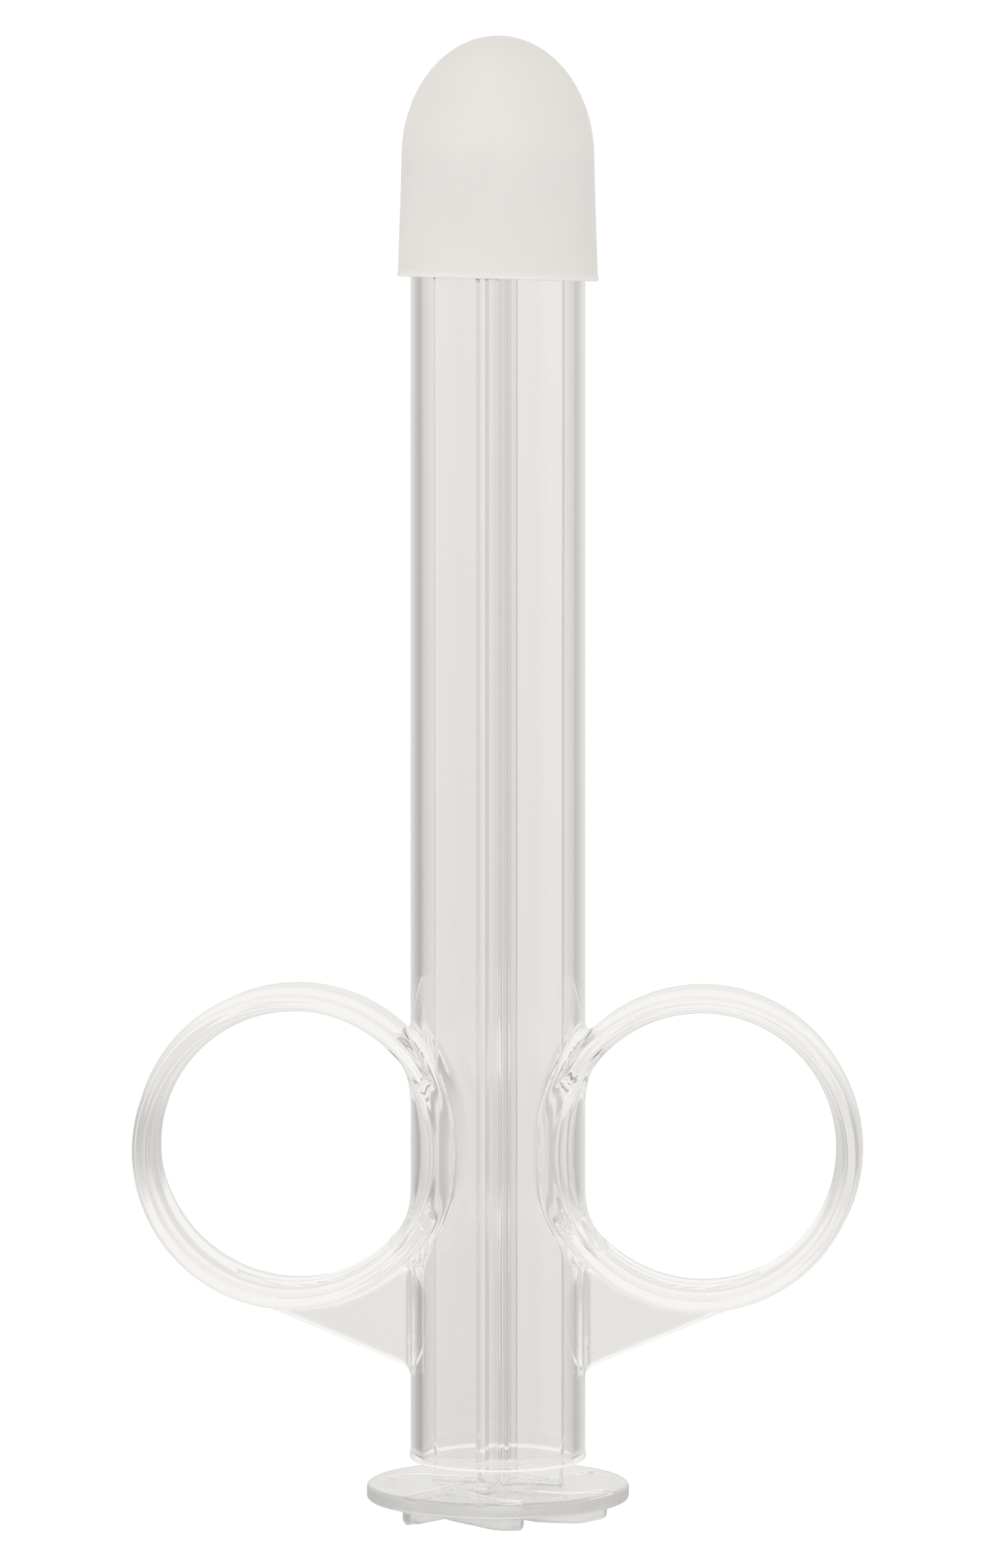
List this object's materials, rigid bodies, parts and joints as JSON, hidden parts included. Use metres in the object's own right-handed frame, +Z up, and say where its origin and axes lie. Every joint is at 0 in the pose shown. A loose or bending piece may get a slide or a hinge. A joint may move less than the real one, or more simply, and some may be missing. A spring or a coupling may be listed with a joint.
{
  "type": "plunger applicator",
  "caption": "Clear syringe-style plunger applicator with a ring finger grip on each side of the barrel, a ribbed thumb disc and a frosted domed push-on cap.",
  "frame": {"origin": "on the plunger's axis, level with the underside of the ribs that the applicator stands on", "axes": "+Z up the barrel from the thumb disc to the cap, X across the two finger rings, -Y towards the front"},
  "size_m": [0.0702, 0.0252, 0.142],
  "materials": {
    "clear_barrel": "clear, polished injection moulding",
    "clear_plunger": "clear, polished injection moulding",
    "seal": "satin, milky silicone",
    "frosted_cap": "frosted, translucent"
  },
  "bodies": {
    "barrel": {"barrel": "clear_barrel"},
    "seal": {"piston_seal": "seal"},
    "plunger": {"plunger": "clear_plunger"},
    "cap": {"cap": "frosted_cap"}
  },
  "joints": [
    {"name": "plunger_slide", "type": "slide", "parent": "barrel", "child": "seal", "axis": [0, 0, -1], "range_m": [-0.0022, 0.105]},
    {"name": "plunger_spin", "type": "hinge", "parent": "seal", "child": "plunger", "pos_m": [0, 0, 0], "axis": [0, 0, 1], "continuous": true},
    {"name": "cap_pull_off", "type": "slide", "parent": "barrel", "child": "cap", "axis": [0, 0, 1], "range_m": [0, 0.035]}
  ]
}
